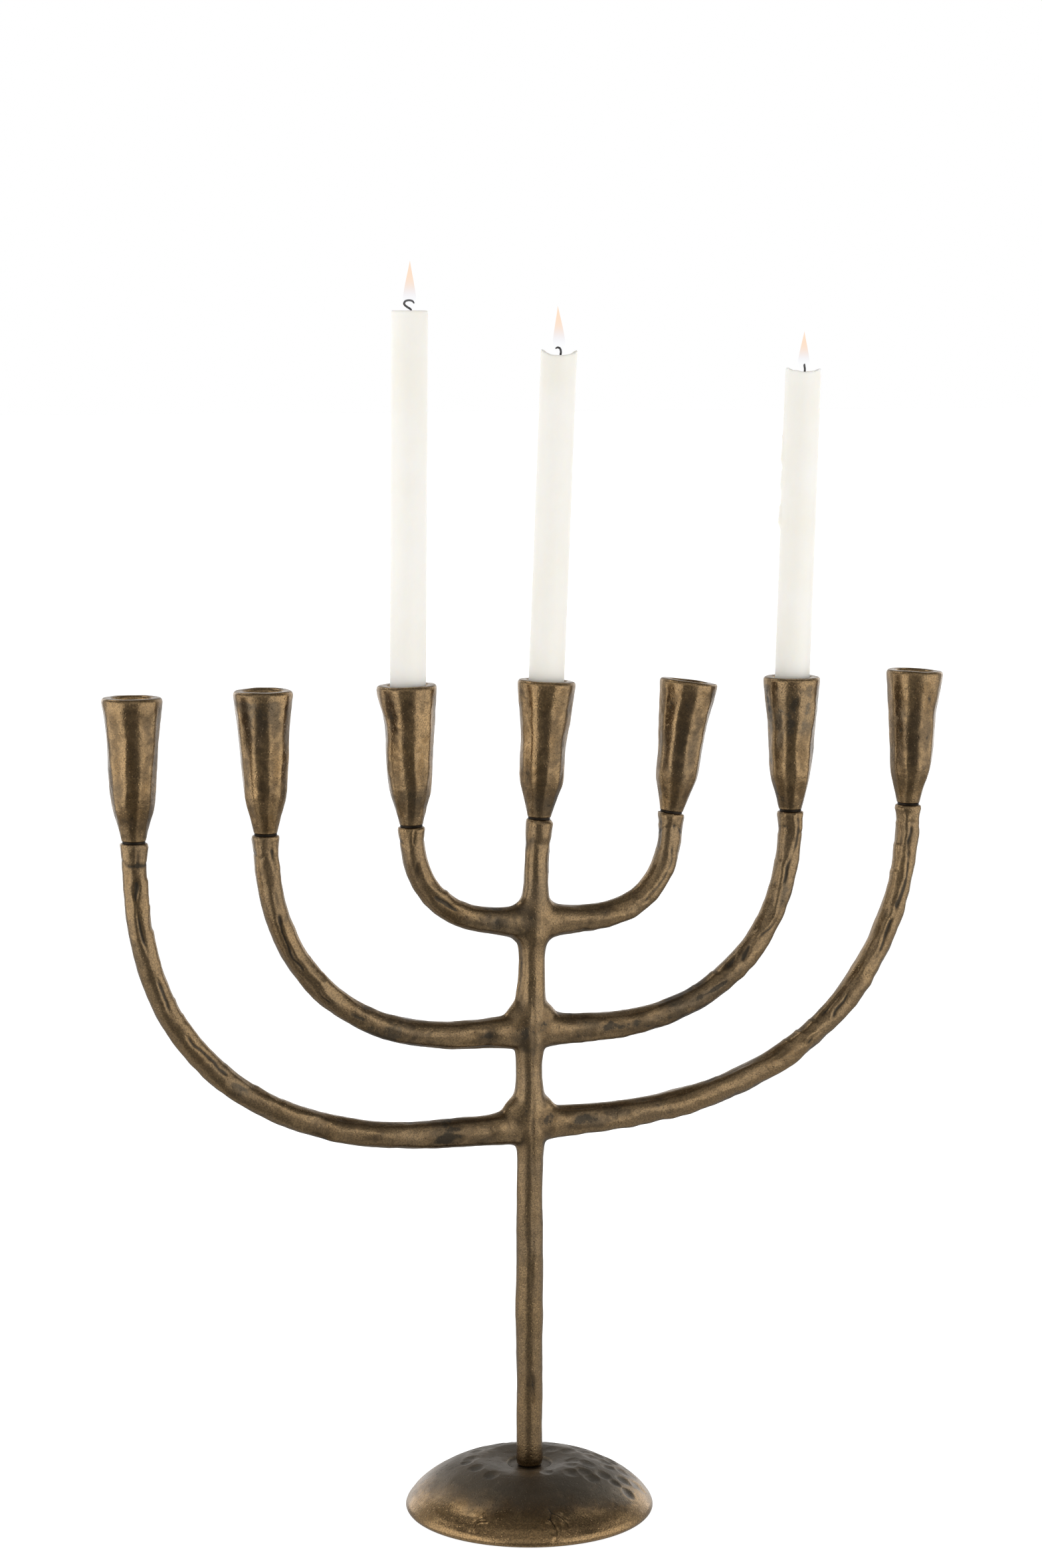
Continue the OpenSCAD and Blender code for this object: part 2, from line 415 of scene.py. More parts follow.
def cast_brass():
    """Sand-cast brass: gold to grey-brown metal under a speckled dark patina.

    The patina layer and three sizes of noise add up to one amount: dark where high, worn bright where low; on
    the foot's lower band the layer is lowered as painted light. The tarnish layer greys the metal, and on the
    top of the foot it is painted shade."""
    p = Paint("antiqued_brass", Metallic=1.0)
    patina_and_painted_light = p.add("Attribute", attribute_name="patina_and_painted_light").outputs["Fac"]
    grain = p.noise(0.5, 2, 0.7)
    speck = p.noise(1.7, 4, 0.75, distortion=0.4)
    blotch = p.noise(8, 6, 0.70, distortion=0.8)
    colour = p.mix(p.range(p.noise(24, 3), 0.40, 0.60), GOLD, TAN)
    colour = p.mix(p.range(p.noise(38, 3), 0.52, 0.68), colour, GREY)
    amount = p.scaled_sum(blotch, 1.9, patina_and_painted_light)
    amount = p.scaled_sum(speck, 1.3, amount)
    amount = p.scaled_sum(grain, 1.0, amount)
    dark = p.range(amount, 2.22, 2.62)
    # Low amounts show worn bright metal; on the foot's lower band that brightness is painted light
    worn_and_painted_light = p.range(amount, 1.95, 1.52)
    colour = p.mix(p.maths("MULTIPLY", worn_and_painted_light, 0.75), colour, BRIGHT)
    colour = p.mix(p.maths("MULTIPLY", dark, 0.92), colour, DARK)
    colour = p.mix(p.range(grain, 0.58, 0.42, 0.0, 0.45), colour, DARK)
    # This layer greys the metal as tarnish; on the top of the foot it is painted shade
    tarnish_and_top_shade = p.add("Attribute", attribute_name="tarnish_and_top_shade").outputs["Fac"]
    colour = p.mix(p.maths("MULTIPLY", tarnish_and_top_shade, 0.8), colour, TARNISH_AND_TOP_SHADE)
    p.set("Base Color", colour)
    rough = p.range(p.noise(6, 3), 0.3, 0.7, 0.19, 0.28)
    rough = p.scaled_sum(tarnish_and_top_shade, 0.20, rough)
    p.set("Roughness", p.scaled_sum(dark, 0.12, rough))
    pits = p.range(p.cells(2.6), 0.10, 0.28)
    relief = p.bump(p.noise(3.2, 3, 0.6), 0.13 * MM)
    relief = p.bump(speck, 0.09 * MM, relief)
    relief = p.bump(grain, 0.06 * MM, relief)
    p.set("Normal", p.bump(pits, 0.08 * MM, relief))
    return p.material


def plain_steel(name, colour, roughness, pitch=0.0):
    """Zinc-plated or blackened steel with fine scratches and smudges, threaded when it has a pitch."""
    p = Paint(name, Metallic=1.0)
    smudge = p.noise(4, 4, 0.6)
    dulled = rgb(*[0.6 * part for part in colour[:3]])
    p.set("Base Color", p.mix(p.range(smudge, 0.35, 0.7), colour, dulled))
    p.set("Roughness", p.range(smudge, 0.3, 0.7, roughness, roughness + 0.18))
    relief = p.bump(p.noise(0.5, 3), 0.03 * MM)
    if pitch:
        inputs = {"Vector": p.where, "Scale": math.pi / 10 / pitch}
        thread = p.add("TexWave", inputs, bands_direction="Z", wave_profile="TRI").outputs["Fac"]
        relief = p.bump(thread, 0.6 * pitch, relief)
    p.set("Normal", relief)
    return p.material


def candle_wax():
    """Ivory wax, a little clouded, with soft dents, and a faint warm painted glow."""
    # The faint warm emission is a painted glow that lightens the wax, though the wax is no lamp
    p = Paint("candle_wax", Roughness=0.48, Specular_IOR_Level=0.3, IOR=1.44, Subsurface_Weight=0.35,
              Subsurface_Scale=6 * MM, Subsurface_Radius=(1.0, 0.75, 0.5),
              Emission_Color=rgb(1.0, 0.94, 0.80), Emission_Strength=0.02)
    cloud = p.noise(30, 4, 0.6)
    p.set("Base Color", p.mix(p.range(cloud, 0.35, 0.7), rgb(0.795, 0.780, 0.742), rgb(0.772, 0.752, 0.690)))
    relief = p.bump(p.noise(12, 2), 0.25 * MM)
    p.set("Normal", p.bump(p.noise(1.4, 3), 0.02 * MM, relief))
    return p.material


def fibrous(name, roughness, texture, low, high, dark, pale, depth):
    """Dull fibres, dark in their hollows: felt, or a burnt wick with a little grey ash."""
    p = Paint(name, Roughness=roughness)
    fibre = p.noise(*texture)
    p.set("Base Color", p.mix(p.range(fibre, low, high), rgb(*dark), rgb(*pale)))
    p.set("Normal", p.bump(fibre, depth * MM))
    return p.material


def flame_glow():
    """Pale flame: bluish and see-through at the bottom, warm and full at the tip."""
    p = Paint("flame", Roughness=1.0, Specular_IOR_Level=0.0, Base_Color=rgb(0, 0, 0), Emission_Strength=1.0)
    height = p.add("SeparateXYZ", {0: p.add("TexCoord").outputs["Generated"]}).outputs["Z"]
    p.set("Emission Color", p.mix(p.range(height, 0.15, 0.75), rgb(0.86, 0.88, 0.95), rgb(1.0, 0.77, 0.60)))
    p.set("Alpha", p.range(height, 0.14, 0.60, 0.05, 0.92))
    return p.material


# ---- cups

CUP_TURNS = 144
CUP_STEP = 0.8 * MM
# The top of the rim is rounded over this height, by this much at its edges
RIM_BAND = 2 * MM
RIM_ROUND = 1.3 * MM
# Flats round a cup, how sharp their edges are, and how much wider than the CAD cup their corners stand
FACETS = 10
SHARPNESS = 55
CORNER_SWELL = 1.018
# Dents and bulges by cup: (angle round the cup in degrees, share of the height, size in mm, depth in mm)
CUP_DENTS = {
    1: [(150, 0.82, 13, 0.7), (-20, 0.45, 12, 0.5)],
    2: [(170, 0.35, 14, 0.6), (-10, 0.75, 12, 0.4)],
    3: [(165, 0.70, 13, 1.5), (160, 0.95, 9, -0.9), (-10, 0.35, 12, 0.4)],
    4: [(160, 0.60, 14, 0.9), (-30, 0.55, 12, 0.7), (-20, 0.28, 12, -0.6)],
    5: [(165, 0.42, 13, 0.9), (-15, 0.60, 14, 0.6)],
    6: [(160, 0.65, 12, 0.5), (-15, 0.30, 12, 0.6)],
    7: [(-25, 0.70, 12, 0.7), (165, 0.40, 14, 0.5)],
}


def cup_frame(n):
    """The middle of a cup's seat and the cup's axis."""
    joint = JOINTS[f"cup_{n}_unscrew"]
    axis = np.array(joint["axis"], float)
    return np.array(joint["pos_m"], float), axis / np.linalg.norm(axis)


def cup_outline(n, origin, axis):
    """The CAD cup's outline with its rim rounded over, and the height of the rim."""
    outline = softened(resampled(outline_of(f"cup_{n}", origin, axis), CUP_STEP), 1)
    top = outline[:, 1].max()
    rim = outline[:, 1] > top - RIM_BAND
    inner, wide = outline[rim, 0].min(), outline[rim, 0].max()
    across = (2 * outline[rim, 0] - inner - wide) / (wide - inner)
    outline[rim, 1] = top - RIM_ROUND * np.abs(across) ** 5
    return outline, top


def flats(n, heights, angle):
    """Share of the radius left by flats that wander up the cup; the first one faces the front."""
    places = np.stack((np.zeros(len(heights)), np.full(len(heights), n * 0.7), heights), axis=1)
    reach = np.ones(angle.shape)
    for k in range(FACETS):
        wander = math.radians(8) * noise(places, 20, 40 * n + k)
        jitter = (0.35 if k else 0.12) * noise(np.array([[k * 0.9, n * 1.7, 0.3]]), 1000, 5)[0]
        centre = FRONT + 2 * math.pi * (k + jitter) / FACETS + wander
        depth = (0.964 if k else 0.978) + 0.018 * noise(places, 22, 40 * n + k + 20)
        flat = depth[:, None] / np.maximum(np.cos(angle - centre[:, None]), 0.2)
        reach += flat ** -SHARPNESS
    return reach ** (-1 / SHARPNESS)


def cup_piece(n, brass):
    """A cast cup: wandering flats, dents, a rounded lumpy rim, and a plain socket."""
    origin, axis = cup_frame(n)
    outline, top = cup_outline(n, origin, axis)
    foot = outline[:, 1].min()
    radius, angle, height = turning_grid(outline, CUP_TURNS)
    shape = radius.shape
    share = (height - foot) / (top - foot)
    bore = outline[share[:, 0] > 0.9, 0].min()
    # 1 on the outside of the cup, 0 in its socket and round its thread
    beside_socket = ramp(radius, bore + 0.6 * MM, bore + 2.6 * MM)
    outer = np.where(share > 0.7, beside_socket, ramp(radius, 5.5 * MM, 7 * MM))
    around = grid_points(radius, angle, height)

    faceted = np.maximum(radius, 0.1 * MM) * CORNER_SWELL * flats(n, outline[:, 1], angle)
    facet_share = ramp(share, 0.01, 0.12) * (1 - 0.75 * ramp(share, 0.80, 0.97))
    radius = radius + outer * facet_share * (faceted - radius)
    lumps = 0.42 * MM * layered(around, 12, 300 + n) + 0.10 * MM * noise(around, 4, 320 + n)
    radius = radius + outer * lumps.reshape(shape)
    for degrees, at, size, depth in CUP_DENTS[n]:
        swing = np.angle(np.exp(1j * (angle - math.radians(degrees))))
        dent = bell(swing * 15 * MM, size * MM) * bell(height - foot - at * (top - foot), size * MM)
        radius = radius - outer * depth * MM * dent
    rim = ramp(share, 0.93, 1.0) * outer
    height = height + rim * 0.35 * MM * noise(around, 9, 360 + n).reshape(shape)

    mesh = turned_mesh(f"cast_cup_{n}", radius, angle, height, origin, axis)
    points = coordinates(mesh)
    hollow = hollowness(mesh, points, 40)
    local = points - origin
    # Stains run lengthwise, so their noise is drawn out along the cup
    long = np.stack((local @ across_of(axis), local[:, 1], 0.4 * (local @ axis)), axis=1)
    patina_and_painted_light = 0.75 * layered(long, 9, 380 + n) + 0.8 * hollow / (0.35 * MM) - 0.02
    patina_and_painted_light -= 0.45 * ramp(local @ axis, top - 7 * MM, top - 2 * MM)
    set_layer(mesh, "patina_and_painted_light", patina_and_painted_light)
    set_layer(mesh, "tarnish_and_top_shade", 0.20 + 0.30 * layered(long, 12, 390 + n))
    fit(mesh, brass, f"cup_{n}", "antiqued_brass", f"cup_{n}")


# ---- base

BASE_TURNS = 540
BASE_STEP = 0.75 * MM
# Casting cracks near the front edge: points as (degrees round from the right, radius in mm)
CRACKS = [
    [(-97, 63), (-96, 66), (-98, 70), (-96.5, 74), (-97.5, 78.5)],
    [(-96, 66), (-93.5, 67), (-91.5, 69.5), (-90.5, 73)],
    [(-132, 71), (-136, 72), (-137, 76)],
]
# Rows of hammer marks on the top: (radius, first and last degree round from the right, how many, depth in mm)
HAMMER_ROWS = [
    (27, -80, 60, 6, 0.35), (38, -62, 205, 16, 0.45), (48, -52, 120, 13, 0.55), (58, -44, 100, 12, 0.60),
    (68, -36, 70, 10, 0.55),
]
# A mark's radius, and how far it may stray from its row
MARK_R = 5.2 * MM
MARK_DRIFT = 5 * MM


def hammer_marks():
    """The middle, radius and depth of each mark, a little off its even place in its row."""
    for row, (radius, first, last, count, depth) in enumerate(HAMMER_ROWS):
        cells = np.array([(row, k, way) for k in range(count) for way in range(3)])
        for k, off in enumerate(hashed(cells, 571).reshape(count, 3) - 0.5):
            heading = math.radians(first + (last - first) * (k + 0.7 * off[0]) / (count - 1))
            at = radius * MM + MARK_DRIFT * off[1]
            yield at * math.cos(heading), at * math.sin(heading), MARK_R * (1 + 0.3 * off[2]), depth * MM


def distance_to_line(x, y, line):
    """Least distance from each (x, y) to a chain of points."""
    nearest = np.full(x.shape, 1.0)
    for (ax, ay), (bx, by) in zip(line[:-1], line[1:]):
        along = np.clip(((x - ax) * (bx - ax) + (y - ay) * (by - ay)) / ((bx - ax) ** 2 + (by - ay) ** 2), 0, 1)
        nearest = np.minimum(nearest, np.hypot(x - ax - along * (bx - ax), y - ay - along * (by - ay)))
    return nearest


def top_profile(outline):
    """Radii and the greatest height of the outline at each, for interpolation."""
    radii = np.linspace(outline[:, 0].min(), outline[:, 0].max(), 160)
    tops = [outline[np.abs(outline[:, 0] - r) < 0.8 * MM, 1].max(initial=0) for r in radii]
    return radii, np.array(tops)


def hammered(points):
    """Depth of the hammer marks at each point."""
    marks = np.zeros(len(points))
    drift = 1.2 * MM * noise(points, 7, 511)
    for x, y, size, depth in hammer_marks():
        gap = np.hypot(points[:, 0] - x, points[:, 1] - y) + drift
        marks = np.maximum(marks, 1.5 * depth * np.maximum(0, 1 - (gap / size) ** 2))
    return marks


def cracked(points):
    """How much each point lies in a crack, and in the raised flakes beside one."""
    crack, flake = np.zeros(len(points)), np.zeros(len(points))
    wobble = 2.0 * MM * layered(points, 4.5, 541)
    flakes = ramp(noise(points, 3, 542), -0.2, 0.5)
    for line in CRACKS:
        chain = [(r * MM * math.cos(math.radians(a)), r * MM * math.sin(math.radians(a))) for a, r in line]
        gap = distance_to_line(points[:, 0] + wobble, points[:, 1] - wobble, chain)
        crack = np.maximum(crack, bell(gap, 0.50 * MM))
        flake = np.maximum(flake, flakes * bell(gap - 1.7 * MM, 0.9 * MM))
    return crack, flake


def base_piece(brass):
    """The cast foot: hammer marks on top, fine cracks in front, painted shade greying its top and painted light
    on its lower band.
    """
    outline = outline_of("base_dome", np.zeros(3), UP)
    outline = softened(resampled(np.vstack((outline, outline[:1])), BASE_STEP), 2)[:-1]
    mesh = turned_mesh("cast_base", *turning_grid(outline, BASE_TURNS), np.zeros(3), UP, closed=True)
    points = coordinates(mesh)
    radius = np.hypot(points[:, 0], points[:, 1])
    turn = np.arctan2(points[:, 1], points[:, 0])
    shell_top = np.interp(radius, *top_profile(outline))
    outside = ramp(points[:, 2], shell_top - 2.6 * MM, shell_top - 1.2 * MM) * ramp(radius, 12 * MM, 16 * MM)
    above_rim = ramp(points[:, 2], 2.6 * MM, 6 * MM)

    marks = hammered(points)
    crack, flake = cracked(points)
    stretched = np.stack((1.8 * radius, 30 * MM * np.cos(turn), 30 * MM * np.sin(turn)), axis=1)
    ripples = 0.16 * MM * noise(stretched, 9, 501) * ramp(radius, 62 * MM, 40 * MM)
    soft = 0.30 * MM * layered(points, 22, 521) + 0.05 * MM * noise(points, 3.5, 531)
    lift = ripples - marks + soft * above_rim + (0.40 * flake - 0.35 * crack) * MM
    points = points + vertex_normals(mesh) * (lift * outside)[:, None]
    set_coordinates(mesh, points)

    hollow = hollowness(mesh, points, 30)
    patina_and_painted_light = 0.6 * layered(points * (0.7, 0.7, 1.2), 15, 551) + 0.7 * crack - 1.0 * flake
    # The last term lightens the foot's lower band all round: painted light where the dome faces the side
    # lights; the rest is patina in hollows and hammer marks
    patina_and_painted_light += 0.5 * hollow / (0.3 * MM) + 0.5 * marks / MM + 0.02 - 0.65 * ramp(points[:, 2], 24 * MM, 9 * MM)
    set_layer(mesh, "patina_and_painted_light", patina_and_painted_light)
    # The top of the foot is greyed and darkened: painted shade for the dim room it mirrors, with a duller
    # roughness as well
    tarnish_and_shade_edge = points[:, 2] + 5 * MM * layered(points, 16, 561)
    set_layer(mesh, "tarnish_and_top_shade", ramp(tarnish_and_shade_edge, 14 * MM, 27 * MM))
    fit(mesh, brass, "stand", "antiqued_brass", "base_dome")


# ---- stem and branches

VOXEL = 0.8 * MM
# The CAD branch under each cup but the middle one
ARM_OF = {1: "arm_outer_left", 2: "arm_middle_left", 3: "arm_inner_left",
          5: "arm_inner_right", 6: "arm_middle_right", 7: "arm_outer_right"}
# Fillets round the crossings, from the lowest: how far they reach across, deep and up, and how far above
# the branches' middle they sit, in mm
HUB_REACH = [(18, 8.7, 17, 4.6), (18, 8.7, 17, 4.3), (17, 8.7, 15.8, 0)]
# How far from the stem's middle the branches are parted from it
CUT_AT = 10.8 * MM
# Plugs fill the stem's and branches' screw holes, each ending just short of its CAD face
PLUG_R = 4.4 * MM
# How much darker the patina is along each branch near the stem
AGED = {1: 0.45, 2: 0.30, 3: 0.10, 5: 0.10, 6: 0.55, 7: 0.05}


def hub_places():
    """Where each pair of branches meets the stem, from the lowest: (x, z)."""
    places = []
    stem = coordinates(frame["nodes"]["stem"].data)
    for pair in ("outer", "middle", "inner"):
        roots = []
        for side in ("left", "right"):
            points = coordinates(frame["nodes"][f"arm_{pair}_{side}"].data)
            roots.append(halfway(points[np.abs(points[:, 0]) < 14 * MM])[2])
        z = sum(roots) / 2
        places.append((halfway(stem[np.abs(stem[:, 2] - z) < 13 * MM])[0], z))
    return places


def add_plug(work, origin, axis, low, high):
    """Adds a closed cylinder between two heights on a leaning axis."""
    made = bmesh.ops.create_cone(
        work, cap_ends=True, segments=24, radius1=PLUG_R, radius2=PLUG_R, depth=high - low)
    middle = origin + axis * (low + high) / 2
    tilt = math.atan2(axis[0], axis[2])
    for vert in made["verts"]:
        x, z = vert.co.x, vert.co.z
        vert.co = (middle[0] + x * math.cos(tilt) + z * math.sin(tilt), middle[1] + vert.co.y,
                   middle[2] + z * math.cos(tilt) - x * math.sin(tilt))


def merged_casting(hubs):
    """Stem, branches, hub fillets and hole plugs as one even mesh."""
    work = bmesh.new()
    for node in ["stem", *ARM_OF.values()]:
        work.from_mesh(frame["nodes"][node].data)
    for (x, z), (wide, deep, tall, up) in zip(hubs, HUB_REACH):
        made = bmesh.ops.create_uvsphere(work, u_segments=32, v_segments=20, radius=MM)
        bmesh.ops.scale(work, vec=(wide, deep, tall), verts=made["verts"])
        bmesh.ops.translate(work, vec=(x, 0, z + up * MM), verts=made["verts"])
    for n in CUPS:
        add_plug(work, *cup_frame(n), -16 * MM, -0.3 * MM)
    stem_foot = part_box("stem")[0].z
    add_plug(work, np.array((0, 0, stem_foot)), UP, 0.3 * MM, 22 * MM)
    bmesh.ops.remove_doubles(work, verts=work.verts, dist=1e-6)
    mesh = bpy.data.meshes.new("casting")
    work.to_mesh(mesh)
    work.free()
    shell = add_object("casting", mesh)
    remesh = shell.modifiers.new("voxels", "REMESH")
    remesh.mode = "VOXEL"
    remesh.voxel_size = VOXEL
    depsgraph = bpy.context.evaluated_depsgraph_get()
    even = bpy.data.meshes.new_from_object(shell.evaluated_get(depsgraph))
    bpy.data.objects.remove(shell)
    return even


def branch_places(points, n):
    """Places on branch n, read in polar form round the point of the stem that is level with its tip.

    For each point: how far along the branch it is, its offset outwards from the branch's middle line, and
    whether it is near; then the branch's length."""
    tip = cup_frame(n)[0]
    side = math.copysign(1, tip[0])

    def polar(at):
        out, down = side * at[:, 0], tip[2] - at[:, 2]
        return np.arctan2(out, down), np.hypot(out, down)

    angle, reach = polar(points)
    own_angle, own_reach = polar(coordinates(frame["nodes"][ARM_OF[n]].data))
    bins = np.radians(np.arange(2, 91, 2.5))
    found = {}
    for centre in bins:
        near = own_reach[np.abs(own_angle - centre) < math.radians(3.2)]
        if len(near):
            found[centre] = halfway(near)
    middle = np.interp(bins, list(found), list(found.values()))
    line = np.interp(angle, bins, middle)
    steps = np.hypot(np.diff(middle), np.diff(bins) * (middle[1:] + middle[:-1]) / 2)
    run = np.interp(angle, bins, np.concatenate(([0], np.cumsum(steps))))
    across = reach - line
    inside = (np.abs(across) < 14 * MM) & (side * points[:, 0] > 0) & (points[:, 2] < tip[2] + 3 * MM)
    return run, across, inside, float(np.sum(steps))


def branch_relief(points, n):
    """Lift and patina of the cast surface along one branch, and where they hold.

    The upper half has a broken groove with a ridge beside it on each face; the whole has steps on the inner
    side, long facets on the outer side, hammering, and a ring near the tip."""
    run, across, inside, length = branch_places(points, n)
    seed = 600 + 20 * n
    share = run / length
    along = np.stack((0.45 * run, across, points[:, 1]), axis=1)
    line = np.stack((run, np.full(len(run), 0.01 * n), np.zeros(len(run))), axis=1)
    front = np.where(points[:, 1] < 0, 0.0, 0.5)
    wander = line + front[:, None] * (0, 0, 1)

    upper = ramp(share, 0.40, 0.52)
    face = ramp(np.abs(points[:, 1]), 2.0 * MM, 4.5 * MM)
    centre = -0.6 * MM + 3.0 * MM * noise(wander, 26, seed) + 1.6 * MM * noise(wander, 8, seed + 1)
    broken = ramp(noise(wander, 9, seed + 2), -0.5, 0.3)
    groove_width = (1.0 + 0.4 * noise(wander, 9, seed + 14)) * MM
    groove = upper * face * broken * bell(across - centre, groove_width)
    ridge_at = centre - (2.6 * MM + 0.9 * MM * noise(wander, 14, seed + 3))
    ridge = upper * face * ramp(noise(wander, 12, seed + 4), -0.3, 0.4) * bell(across - ridge_at, 1.7 * MM)
    collar_at = length - 10 * MM + 3 * MM * noise(along * (0, 1, 1), 7, seed + 12)
    collar = bell(run - collar_at, 1.0 * MM) * ramp(noise(along * (0, 1, 1), 9, seed + 13), -0.4, 0.3)

    inner = ramp(-across, 3.5 * MM, 7 * MM)
    step_at = (run / (19 * MM) + 0.8 * noise(line, 34, seed + 5)) % 1
    steps = inner * (0.15 + 0.85 * upper) * (step_at ** 2 * ramp(step_at, 1.0, 0.85) - 0.28)
    steps = steps * ramp(noise(line, 32, seed + 6), -0.4, 0.4)
    outer = ramp(across, 3 * MM, 6.5 * MM)
    facet_at = (run / (17 * MM) + 0.6 * noise(line, 26, seed + 7)) % 1
    facets = (outer if n > 4 else 0.3 * outer) * (np.abs(facet_at - 0.5) * 2 - 0.5)

    hammering = (0.25 + 0.75 * face) * (0.36 - np.minimum(dimples(along, 9, seed + 8), 0.8) ** 2)
    lumps = layered(points, 17, seed + 9, 2)
    twist = face * noise(wander, 24, seed + 15) * np.clip(across / (7 * MM), -1.2, 1.2)
    lift = (-0.60 * groove + 0.60 * ridge + 0.9 * twist - 0.35 * collar + 0.80 * steps + 0.45 * facets
            - 0.95 * hammering + 0.40 * lumps + 0.10 * noise(points, 3, seed + 10)) * MM
    patina_and_painted_light = 0.75 * layered(along, 5, seed + 11) + 1.0 * noise(along, 11, seed + 16) + 0.8 * groove
    patina_and_painted_light += 0.35 * collar - 0.8 * ridge + AGED[n] * ramp(share, 0.60, 0.35)
    return lift, patina_and_painted_light, inside


def stem_relief(points):
    """The same for the stem: long low flats, a shallow crease and lumps."""
    along = points * (1, 1, 0.4)
    hammering = 0.36 - np.minimum(dimples(along, 8, 801), 0.8) ** 2
    line = np.stack((points[:, 2], np.zeros(len(points)), np.sign(points[:, 1])), axis=1)
    crease_at = 2.2 * MM * noise(line, 30, 802)
    crease = bell(points[:, 0] - crease_at, 1.3 * MM) * ramp(noise(line, 40, 803), -0.2, 0.5)
    twist = noise(line, 26, 806) * np.clip(points[:, 0] / (8 * MM), -1.2, 1.2)
    below = cup_frame(4)[0][2] - points[:, 2] + 2 * MM * noise(points * (1, 1, 0), 7, 807)
    uneven = 0.6 + 0.4 * noise(points * (1, 1, 0.3), 6, 809)
    collar = uneven * (0.6 * bell(below - 7.5 * MM, 4.5 * MM) - 0.6 * bell(below - 14.5 * MM, 2.2 * MM))
    lift = (-0.5 * hammering + 0.35 * layered(points, 14, 804) + 1.0 * twist - 0.3 * crease + collar) * MM
    patina_and_painted_light = 0.75 * layered(along, 5, 805) + 0.8 * noise(along, 11, 808) + 0.2 * crease
    return lift, patina_and_painted_light


def near_seats(points, reach, low, high):
    """1 round each cup's seat, falling to 0 between two heights on the cup's axis."""
    near = np.zeros(len(points))
    for n in CUPS:
        origin, axis = cup_frame(n)
        close = np.linalg.norm(points - origin, axis=1) < reach
        near = np.maximum(near, close * ramp((points - origin) @ axis, low, high))
    return near


def casting_pieces(brass):
    """Stem and branches: one blended surface, cut where each branch leaves the stem."""
    hubs = hub_places()
    mesh = merged_casting(hubs)
    ends = edge_ends(mesh)
    # The crossings are smoothed until they flow, the tips stay crisp, and the rest is in between
    crisp = relaxed(coordinates(mesh), ends, 3)
    points = relaxed(crisp, ends, 16)
    flowing = relaxed(points, ends, 60)
    near_hub = np.zeros(len(points))
    for (x, z), (wide, _, tall, up) in zip(hubs, HUB_REACH):
        gap = np.hypot((points[:, 0] - x) / wide, (points[:, 2] - z - up * MM) / tall) / MM
        near_hub = np.maximum(near_hub, ramp(gap, 1.7, 1.1))
    near_tip = near_seats(points, 14 * MM, -5 * MM, -2.5 * MM)
    points = points + near_hub[:, None] * (flowing - points) + near_tip[:, None] * (crisp - points)
    set_coordinates(mesh, points)
    normals = vertex_normals(mesh)
    # Smoothing shrinks the crossings, so they are swelled again
    points = points + normals * (0.9 * MM * near_hub)[:, None]

    lift, patina_and_painted_light = stem_relief(points)
    for n in ARM_OF:
        arm_lift, arm_patina, inside = branch_relief(points, n)
        share = inside * ramp(np.abs(points[:, 0]), 13 * MM, 26 * MM)
        lift = lift + share * (arm_lift - lift)
        patina_and_painted_light = patina_and_painted_light + share * (arm_patina - patina_and_painted_light)
    lowest = points[:, 2].min()
    seats = near_seats(points, 12 * MM, -2.2 * MM, -0.9 * MM)
    still = np.maximum(seats, ramp(points[:, 2], lowest + 4 * MM, lowest + 1.5 * MM))
    swell = 0.2 * MM
    points = points + normals * ((lift + swell) * (1 - still))[:, None]
    points = relaxed(points, ends, 2, 0.4)
    set_coordinates(mesh, points)
    hollow = hollowness(mesh, points, 60)
    set_layer(mesh, "patina_and_painted_light", patina_and_painted_light + np.clip(hollow / (0.30 * MM), -1.2, 1.2) + 0.14)
    set_layer(mesh, "tarnish_and_top_shade", 0.38 + 0.30 * layered(points, 20, 811))
    for part in cut_at_hubs(mesh, hubs):
        finish_casting(part, brass)


def loose_parts(work):
    """The vertices of each part that hangs together."""
    parts, seen = [], set()
    work.verts.ensure_lookup_table()
    for start in work.verts:
        if start in seen:
            continue
        stack, found = [start], []
        seen.add(start)
        while stack:
            vert = stack.pop()
            found.append(vert)
            for edge in vert.link_edges:
                other = edge.other_vert(vert)
                if other not in seen:
                    seen.add(other)
                    stack.append(other)
        parts.append(found)
    return parts


def capped_copy(work, part):
    """One part as a mesh of its own, its cut ends filled flat and their edges sharp."""
    copy = work.copy()
    copy.verts.ensure_lookup_table()
    work.verts.index_update()
    kept = {vert.index for vert in part}
    bmesh.ops.delete(copy, geom=[v for v in copy.verts if v.index not in kept], context="VERTS")
    rim = [edge for edge in copy.edges if edge.is_boundary]
    if rim:
        caps = bmesh.ops.holes_fill(copy, edges=rim, sides=0)["faces"]
        for edge in rim:
            edge.smooth = False
        bmesh.ops.triangulate(copy, faces=caps)
    mesh = bpy.data.meshes.new("casting_part")
    copy.to_mesh(mesh)
    copy.free()
    return mesh


def cut_at_hubs(mesh, hubs):
    """The casting's seven closed parts, each cut face flat."""
    work = bmesh.new()
    work.from_mesh(mesh)
    cut = []
    for x, z in hubs:
        for plane in (x - CUT_AT, x + CUT_AT):
            faces = [f for f in work.faces if abs(f.calc_center_bounds().x - plane) < 3 * MM
                     and abs(f.calc_center_bounds().z - z) < 22 * MM]
            geom = faces + list({e for f in faces for e in f.edges}) + list({v for f in faces for v in f.verts})
            made = bmesh.ops.bisect_plane(
                work, geom=geom, dist=1e-7, plane_co=(plane, 0, z), plane_no=(1, 0, 0))
            cut += [e for e in made["geom_cut"] if isinstance(e, bmesh.types.BMEdge)]
    bmesh.ops.split_edges(work, edges=cut)
    meshes = [capped_copy(work, part) for part in loose_parts(work) if len(part) > 500]
    work.free()
    return meshes


